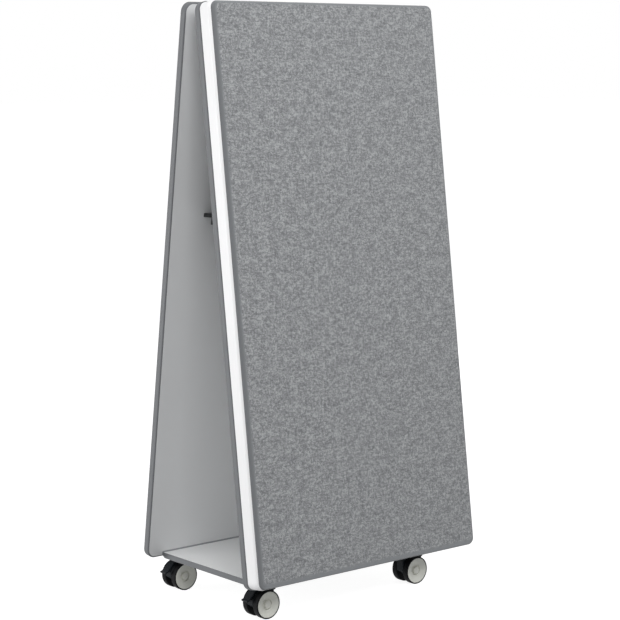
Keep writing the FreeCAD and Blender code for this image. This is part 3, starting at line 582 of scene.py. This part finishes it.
def rounded_slab(width, length, thickness, corner, roll):
    """Flat slab in x and y, its top at z = 0, with round corners and a rolled upper edge."""
    shape = bmesh.new()
    bmesh.ops.create_grid(shape, x_segments=1, y_segments=1, size=0.5)
    bmesh.ops.scale(shape, vec=(width, length, 1), verts=shape.verts)
    bmesh.ops.bevel(shape, geom=list(shape.verts), offset=corner, offset_type="OFFSET",
                    segments=CORNER_SEGMENTS, profile=0.5, affect="VERTICES", material=-1)
    bmesh.ops.translate(shape, vec=(0, 0, -thickness), verts=shape.verts)
    raised = bmesh.ops.extrude_face_region(shape, geom=list(shape.faces))["geom"]
    top = [item for item in raised if isinstance(item, bmesh.types.BMVert)]
    bmesh.ops.translate(shape, vec=(0, 0, thickness), verts=top)
    upper = [edge for edge in shape.edges if all(abs(v.co.z) < NEAR_ZERO for v in edge.verts)]
    bmesh.ops.bevel(shape, geom=upper, offset=roll, offset_type="OFFSET", segments=ROLL_SEGMENTS,
                    profile=0.5, affect="EDGES", material=-1)
    bmesh.ops.recalc_face_normals(shape, faces=shape.faces)
    return shape


print("slab corners have", CORNER_SEGMENTS, "segments, rolled edges", ROLL_SEGMENTS)

# %% [markdown]
# Insets add the rings that the pressed border needs, and lift the field a little above it. The border is
# wider at the left and at the foot, so the rings are drawn in further there. A simulated cushion would
# bulge, which a stretched wall pad doesn't, so the soft crown is only the lift between those rings.

# %% Model the felt pad
FELT_CORNER = 0.022
FELT_ROLL = 0.005
PRESSED_DEPTH = 0.0008
PRESSED_RINGS = 4
RING_WIDTH = 0.0008
RING_EXTRA_LEFT = 0.0023
RING_EXTRA_FOOT = 0.0028


def leftness(vertex, left):
    """1 along the left edge, fading to 0 round the corners."""
    return max(0.0, 1.0 - (vertex.co.x - left) / FELT_CORNER)


def press_border(shape, width):
    """Inset the front face ring by ring, and paint how far each ring is pressed and how much painted shade
    it carries.
    """
    pressed = shape.verts.layers.float.new("pressed")
    # The second attribute is painted shade: full on the left side, fading out over the rings.
    left_shade = shape.verts.layers.float.new("painted_left_shade")
    for vertex in shape.verts:
        vertex[pressed] = 1.0
        vertex[left_shade] = leftness(vertex, -width / 2)
    front = max(shape.faces, key=lambda face: face.calc_area() * (face.normal.z > 0.5))
    for ring in range(PRESSED_RINGS):
        ring_share = (ring + 1) / PRESSED_RINGS
        bmesh.ops.inset_region(shape, faces=[front], thickness=RING_WIDTH, depth=0, use_even_offset=True)
        left = min(vertex.co.x for vertex in front.verts) + RING_EXTRA_LEFT
        for vertex in front.verts:
            vertex.co.x += RING_EXTRA_LEFT * (vertex.co.x < 0)
            vertex.co.y += RING_EXTRA_FOOT * (vertex.co.y < 0)
            vertex.co.z += PRESSED_DEPTH / PRESSED_RINGS
            vertex[pressed] = 1.0 - ring_share ** 3
            vertex[left_shade] = (1.0 - ring_share) * leftness(vertex, left)


def felt_pad():
    width, length, thickness = [high - low for low, high in (felt_x, felt_up, felt_out)]
    shape = rounded_slab(width, length, thickness - PRESSED_DEPTH, FELT_CORNER, FELT_ROLL)
    press_border(shape, width)
    uv = shape.loops.layers.uv.new("felt")
    for face in shape.faces:
        for loop in face.loops:
            loop[uv].uv = (loop.vert.co.x, loop.vert.co.y)
    middle = Vector((sum(felt_x) / 2, sum(felt_up) / 2, felt_out[1] - PRESSED_DEPTH))
    bmesh.ops.translate(shape, vec=middle, verts=shape.verts)
    bmesh.ops.transform(shape, matrix=lean_into_place, verts=shape.verts)
    return shape


felt_shape = felt_pad()
print("felt pad", len(felt_shape.faces), "faces")

# %% [markdown]
# A modelled piece takes the place of a hard stand-in. It wears a finish, rides on the stand-in's body, and
# shades smoothly except at sharp edges. An edge-split modifier could do the last of these, but a mark on the
# sharp edges keeps the mesh in one piece.

# %% Put the felt pad in its stand-in's place
SHARP_ANGLE = math.radians(35)


def finished_piece(name, shape, slot, stands_for):
    """Turn a bmesh into an object that wears a slot's finish and stands for a node, on that node's body."""
    for face in shape.faces:
        face.smooth = True
    mesh = bpy.data.meshes.new(name)
    shape.to_mesh(mesh)
    shape.free()
    mesh.set_sharp_from_angle(angle=SHARP_ANGLE)
    mesh.materials.append(finishes[slot])
    piece = bpy.data.objects.new(name, mesh)
    bpy.context.scene.collection.objects.link(piece)
    body = body_of_node[stands_for]
    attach(piece, body)
    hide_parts(stands_for)
    return piece


felt = finished_piece("felt_pad", felt_shape, "felt", "felt_face")
print("felt pad rides on", body_of_node["felt_face"])

# %% [markdown]
# Each castor has two wheels, and each wheel is a black moulding with a rounded tread and a grey cover disc
# set into its outer side. They could be built up from cylinders, but both are turned shapes, so a profile
# spun round the axle makes each of them in one go. A bevel on the profile's corners, before the spin, rounds
# every edge at once.

# %% Helper: turn a profile about the axle
WHEEL_STEPS = 96


def turned(profile, soft_corners, radius, segments):
    """Closed profile of (radius, along) corners spun about the y axis, some corners rounded first."""
    shape = bmesh.new()
    corners = [shape.verts.new((out, along, 0)) for out, along in profile]
    shape.faces.new(corners)
    bmesh.ops.bevel(shape, geom=[corners[i] for i in soft_corners], offset=radius, offset_type="OFFSET",
                    segments=segments, profile=0.5, affect="VERTICES", material=-1)
    bmesh.ops.delete(shape, geom=list(shape.faces), context="FACES_ONLY")
    on_axis = [edge for edge in shape.edges if all(vertex.co.x < NEAR_ZERO for vertex in edge.verts)]
    bmesh.ops.delete(shape, geom=on_axis, context="EDGES")
    bmesh.ops.spin(shape, geom=list(shape.verts) + list(shape.edges), axis=(0, 1, 0), cent=(0, 0, 0),
                   angle=math.tau, steps=WHEEL_STEPS, use_merge=True)
    bmesh.ops.remove_doubles(shape, verts=shape.verts, dist=NEAR_ZERO)
    bmesh.ops.recalc_face_normals(shape, faces=shape.faces)
    return shape


print("a turned piece has", WHEEL_STEPS, "steps")

# %% [markdown]
# The radii and the widths could be typed in, but they are measured on the hard stand-ins, so that the round
# pieces fill the same space when a castor changes. Only the cover is drawn a millimetre smaller, so that the
# black ring round it shows as wide as on the real wheel.

# %% Measure the wheels
COVER_INSET = 0.0010


def wheel_sizes(name):
    """Middle, inner and outer side, cover's back and both radii of one wheel, sides as distances out."""
    low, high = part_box(name + "_tyre")
    cover_low, cover_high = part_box(name + "_disc")
    hood_low, hood_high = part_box(name.rsplit("_", 1)[0] + "_hood")
    middle = Vector(((low.x + high.x) / 2, (hood_low.y + hood_high.y) / 2, (low.z + high.z) / 2))
    sides = sorted(abs(side - middle.y) for side in (low.y, high.y))
    back = min(abs(side - middle.y) for side in (cover_low.y, cover_high.y))
    return middle, sides, back, (high.x - low.x) / 2, (cover_high.x - cover_low.x) / 2 - COVER_INSET


wheel_names = [node[:-len("_tyre")] for node in nodes if node.endswith("_tyre")]
print(len(wheel_names), "wheels to turn")

# %% [markdown]
# The black moulding is a ring with a hub on its inner side and a seat for the cover on its outer side. The
# cover has a flat rim, a dish, and a boss that stands in a deep groove. Its depths are written here, because
# a box can't show them. Real covers are moulded and snap into the wheel, which is why a fine gap stays
# between the two.

# %% Turn the wheels and their cover discs
TREAD_ROUND = 0.0014
TREAD_SEGMENTS = 6
WHEEL_BORE = 0.00405
WHEEL_HUB = 0.011
HUB_LENGTH = 0.0003
COVER_GAP = 0.00002
COVER_SOFT_EDGE = 0.0007
COVER_SEGMENTS = 3
COVER_RIM = 0.0025
COVER_DISH = 0.0058
COVER_BOSS = 0.0114
COVER_BOSS_SINK = 0.0024
COVER_GROOVE = 0.0050
COVER_GROOVE_FLOOR = 0.0106


def black_wheel(sides, back, radius, seat):
    hub, outer = sides
    inner = hub + HUB_LENGTH
    profile = [(WHEEL_BORE, hub), (WHEEL_HUB, hub), (WHEEL_HUB, inner), (radius, inner), (radius, outer),
               (seat, outer), (seat, back), (WHEEL_BORE, back)]
    tread_corners = (3, 4)
    return turned(profile, tread_corners, TREAD_ROUND, TREAD_SEGMENTS)


def cover_disc(outer, back, radius):
    groove = COVER_BOSS + COVER_GROOVE
    floor = outer - COVER_GROOVE_FLOOR
    top = outer - COVER_BOSS_SINK
    profile = [(0, back), (0, top), (COVER_BOSS, top), (COVER_BOSS, floor), (groove, floor),
               (groove + COVER_SOFT_EDGE, outer - COVER_DISH), (radius - COVER_RIM, outer), (radius, outer),
               (radius, back)]
    outer_corners = (2, 3, 4, 5, 6, 7)
    return turned(profile, outer_corners, COVER_SOFT_EDGE, COVER_SEGMENTS)


def put_on_axle(shape, middle, name):
    """Turn a front wheel's shape to face the front, and move it to its axle."""
    if name.endswith("_front"):
        half_turn = Matrix.Rotation(math.pi, 3, "Z")
        bmesh.ops.rotate(shape, cent=(0, 0, 0), matrix=half_turn, verts=shape.verts)
    bmesh.ops.translate(shape, vec=middle, verts=shape.verts)
    return shape


for name in wheel_names:
    middle, sides, back, radius, cover_radius = wheel_sizes(name)
    wheel = put_on_axle(black_wheel(sides, back, radius, cover_radius + COVER_GAP), middle, name)
    cover = put_on_axle(cover_disc(sides[1], back, cover_radius), middle, name)
    finished_piece(name + "_round_wheel", wheel, "tyre_black", name + "_tyre")
    finished_piece(name + "_round_cover", cover, "disc_grey", name + "_disc")
print(len(wheel_names), "wheels of radius", round(radius, 4), "with covers of", round(cover_radius, 4))
